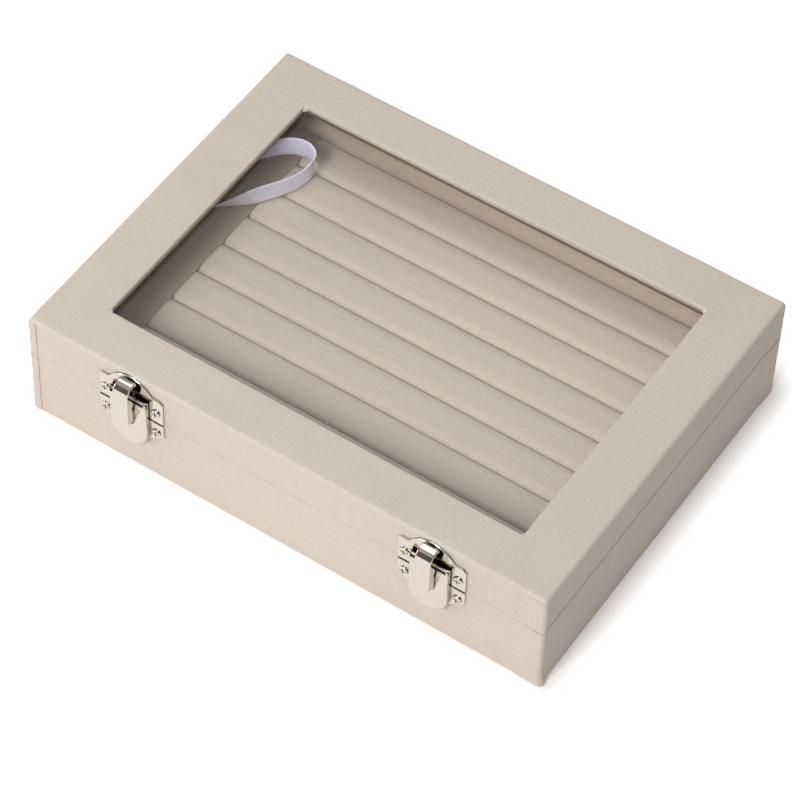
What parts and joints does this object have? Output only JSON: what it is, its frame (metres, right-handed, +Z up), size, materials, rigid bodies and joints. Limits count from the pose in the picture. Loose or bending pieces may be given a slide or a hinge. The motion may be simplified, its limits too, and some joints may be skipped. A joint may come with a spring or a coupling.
{
  "type": "earring box",
  "caption": "Cloth-covered display case with a hinged glass-topped lid, spring latches, a ribbon lid stay and velvet rolls that hold earrings and rings.",
  "frame": {"origin": "centre of the underside, on the surface that the box stands on", "axes": "+X along the long side to the right seen from the front, -Y to the front with the latches, +Z up"},
  "size_m": [0.2, 0.1578, 0.0455],
  "materials": {
    "linen_cloth": "woven linen, greige",
    "roll_velvet": "short-pile velvet over foam",
    "lining_velvet": "short-pile velvet",
    "satin_ribbon": "satin",
    "clear_glass": "clear float glass",
    "underside_paper": "matt cover cloth",
    "grey_card": "uncoated card",
    "white_board": "white-faced board",
    "case_board": "fibreboard",
    "spring_steel": "spring steel",
    "screw_nickel": "nickel-plated",
    "pin_steel": "bright steel",
    "nickel_plate": "nickel-plated pressed steel"
  },
  "bodies": {
    "base": {"base_underside_cover": "underside_paper", "base_floor_board": "case_board", "base_front_wall": "case_board", "base_rear_wall": "case_board", "base_left_wall": "case_board", "base_right_wall": "case_board", "base_cloth_wrap": "linen_cloth", "base_wall_lining": "lining_velvet", "side_ledge_left": "lining_velvet", "side_ledge_right": "lining_velvet", "insert_backing_board": "grey_card", "roll_1": "roll_velvet", "roll_2": "roll_velvet", "roll_3": "roll_velvet", "roll_4": "roll_velvet", "roll_5": "roll_velvet", "roll_6": "roll_velvet", "roll_7": "roll_velvet", "roll_8": "roll_velvet", "roll_9": "roll_velvet", "lid_stay_ribbon": "satin_ribbon", "latch_left_catch_plate": "nickel_plate", "latch_right_catch_plate": "nickel_plate", "latch_left_lever_pin": "pin_steel", "latch_right_lever_pin": "pin_steel", "latch_left_lever_spring": "spring_steel", "latch_right_lever_spring": "spring_steel", "base_latch_screws": "screw_nickel", "base_hinge_screws": "screw_nickel", "hinge_left_base_leaf": "nickel_plate", "hinge_right_base_leaf": "nickel_plate", "hinge_left_pin": "pin_steel", "hinge_right_pin": "pin_steel"},
    "lid": {"lid_top_board": "white_board", "lid_front_wall": "case_board", "lid_rear_wall": "case_board", "lid_left_wall": "case_board", "lid_right_wall": "case_board", "lid_cloth_wrap": "linen_cloth", "glass_pane": "clear_glass", "glass_retainer_frame": "grey_card", "lid_wall_lining": "lining_velvet", "latch_left_strike_plate": "nickel_plate", "latch_right_strike_plate": "nickel_plate", "lid_latch_screws": "screw_nickel", "lid_hinge_screws": "screw_nickel", "hinge_left_lid_leaf": "nickel_plate", "hinge_right_lid_leaf": "nickel_plate"},
    "latch_lever_left": {"latch_left_lever": "nickel_plate"},
    "latch_lever_right": {"latch_right_lever": "nickel_plate"}
  },
  "joints": [
    {"name": "lid_hinge", "type": "hinge", "parent": "base", "child": "lid", "pos_m": [0, 0.0756, 0.0285], "axis": [-1, 0, 0], "range_deg": [0, 85], "deforming": ["lid_stay_ribbon"]},
    {"name": "latch_left_press", "type": "hinge", "parent": "base", "child": "latch_lever_left", "pos_m": [-0.0584, -0.0761, 0.0367], "axis": [1, 0, 0], "range_deg": [0, 12], "stiffness_Nm_per_rad": 0.05, "springref_deg": -5.73, "deforming": ["latch_left_lever_spring"]},
    {"name": "latch_right_press", "type": "hinge", "parent": "base", "child": "latch_lever_right", "pos_m": [0.0584, -0.0761, 0.0367], "axis": [1, 0, 0], "range_deg": [0, 12], "stiffness_Nm_per_rad": 0.05, "springref_deg": -5.73, "deforming": ["latch_right_lever_spring"]}
  ]
}
